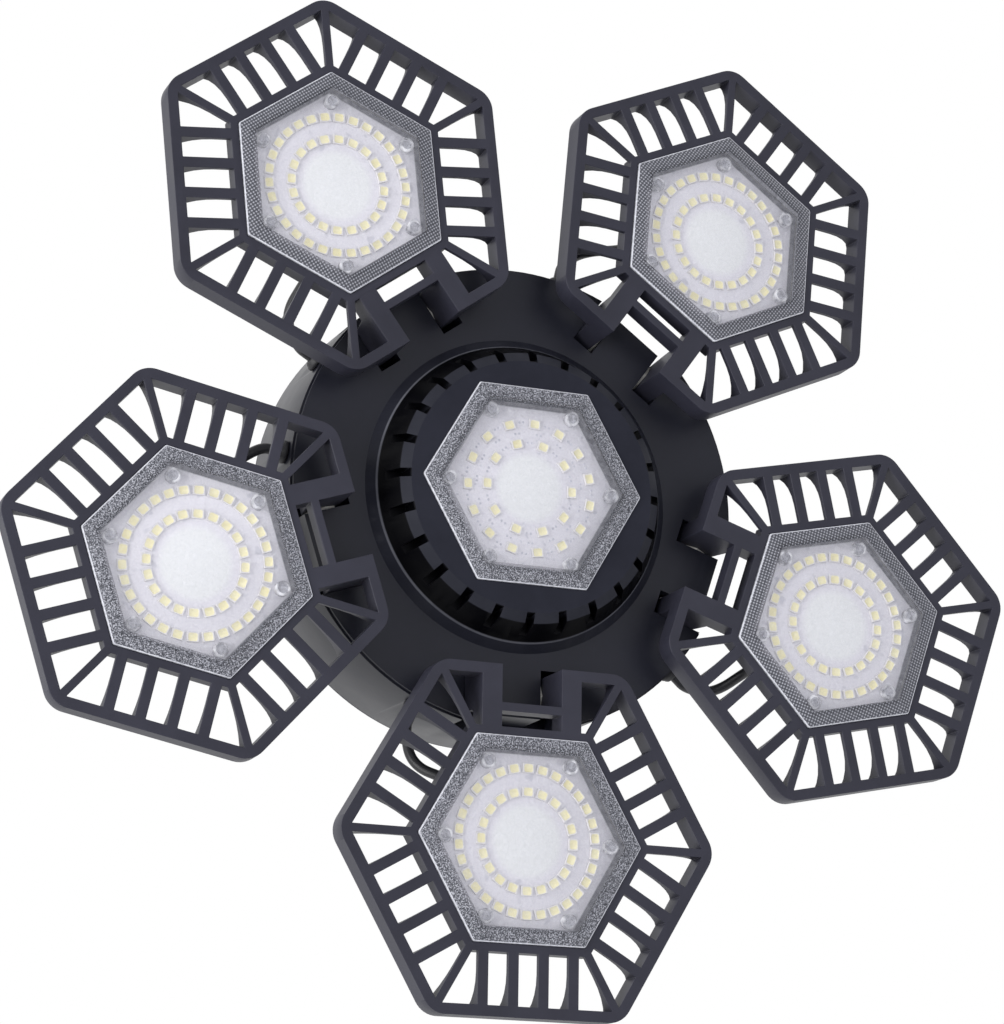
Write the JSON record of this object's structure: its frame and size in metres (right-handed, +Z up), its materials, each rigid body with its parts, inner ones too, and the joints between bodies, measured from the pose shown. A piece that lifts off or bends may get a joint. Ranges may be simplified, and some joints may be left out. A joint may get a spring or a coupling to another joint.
{
  "type": "deformable garage light",
  "caption": "Socket lamp with a round hub, a notched centre drum and hexagonal ribbed light panels that fold on friction hinges.",
  "frame": {"origin": "centre of the collar's seat, where the screw cap begins", "axes": "+Z up along the screw cap, away from the light; -Z is the direction of the light; +Y runs through the hinge of panel_d"},
  "size_m": [0.3042, 0.29, 0.1107],
  "materials": {
    "dark_aluminium": "fine satin powder coat over die-cast aluminium",
    "housing_plastic": "moulded, fine grain",
    "black_gloss_plastic": "moulded, glossy",
    "cap_metal": "nickel-plated sheet",
    "contact_metal": "stamped",
    "insulator": "glassy black",
    "pin_steel": "turned",
    "washer_nylon": "plain",
    "board_white": "white solder mask",
    "board_green": "green solder mask",
    "lamp_chip": "phosphor under clear resin",
    "lens_clear": "clear polycarbonate, textured border",
    "rubber_black": "matt",
    "screw_steel": "zinc plated",
    "transformer_wrap": "yellow tape",
    "capacitor_case": "moulded film capacitor case",
    "lead_sleeve": "insulated wire",
    "cable_jacket": "round sheath"
  },
  "bodies": {
    "hub": {"hub_housing": "housing_plastic", "rear_cover": "housing_plastic", "vent_drum": "black_gloss_plastic", "cap_collar": "black_gloss_plastic", "screw_shell": "cap_metal", "tip_insulator": "insulator", "tip_contact": "contact_metal", "hinge_pins": "pin_steel", "friction_washers": "washer_nylon", "driver_board": "board_green", "driver_transformer": "transformer_wrap", "driver_capacitors": "capacitor_case", "cap_leads": "lead_sleeve", "hub_lamp_cable": "cable_jacket", "cable_grommets": "rubber_black", "cover_screws": "screw_steel", "hub_lens": "lens_clear", "hub_lamp_board": "board_white", "hub_lamp_chips": "lamp_chip", "cable_a": "cable_jacket", "cable_b": "cable_jacket", "cable_c": "cable_jacket", "cable_d": "cable_jacket", "cable_e": "cable_jacket"},
    "panel_a": {"panel_frame_a": "dark_aluminium", "panel_lens_a": "lens_clear", "lamp_board_a": "board_white", "lamp_chips_a": "lamp_chip", "cable_gland_a": "rubber_black"},
    "panel_b": {"panel_frame_b": "dark_aluminium", "panel_lens_b": "lens_clear", "lamp_board_b": "board_white", "lamp_chips_b": "lamp_chip", "cable_gland_b": "rubber_black"},
    "panel_c": {"panel_frame_c": "dark_aluminium", "panel_lens_c": "lens_clear", "lamp_board_c": "board_white", "lamp_chips_c": "lamp_chip", "cable_gland_c": "rubber_black"},
    "panel_d": {"panel_frame_d": "dark_aluminium", "panel_lens_d": "lens_clear", "lamp_board_d": "board_white", "lamp_chips_d": "lamp_chip", "cable_gland_d": "rubber_black"},
    "panel_e": {"panel_frame_e": "dark_aluminium", "panel_lens_e": "lens_clear", "lamp_board_e": "board_white", "lamp_chips_e": "lamp_chip", "cable_gland_e": "rubber_black"}
  },
  "joints": [
    {"name": "fold_a", "type": "hinge", "parent": "hub", "child": "panel_a", "pos_m": [-0.03409, -0.04692, -0.0634], "axis": [-0.809, 0.5878, 0], "range_deg": [-5, 73], "deforming": ["cable_a"]},
    {"name": "fold_b", "type": "hinge", "parent": "hub", "child": "panel_b", "pos_m": [0.03409, -0.04692, -0.0634], "axis": [-0.809, -0.5878, 0], "range_deg": [-6.5, 71.5], "deforming": ["cable_b"]},
    {"name": "fold_c", "type": "hinge", "parent": "hub", "child": "panel_c", "pos_m": [0.05516, 0.01792, -0.0634], "axis": [0.309, -0.9511, 0], "range_deg": [-3, 75], "deforming": ["cable_c"]},
    {"name": "fold_d", "type": "hinge", "parent": "hub", "child": "panel_d", "pos_m": [0, 0.058, -0.0634], "axis": [1, 0, 0], "range_deg": [-3.5, 74.5], "deforming": ["cable_d"]},
    {"name": "fold_e", "type": "hinge", "parent": "hub", "child": "panel_e", "pos_m": [-0.05516, 0.01792, -0.0634], "axis": [0.309, 0.9511, 0], "range_deg": [-7, 71], "deforming": ["cable_e"]}
  ]
}
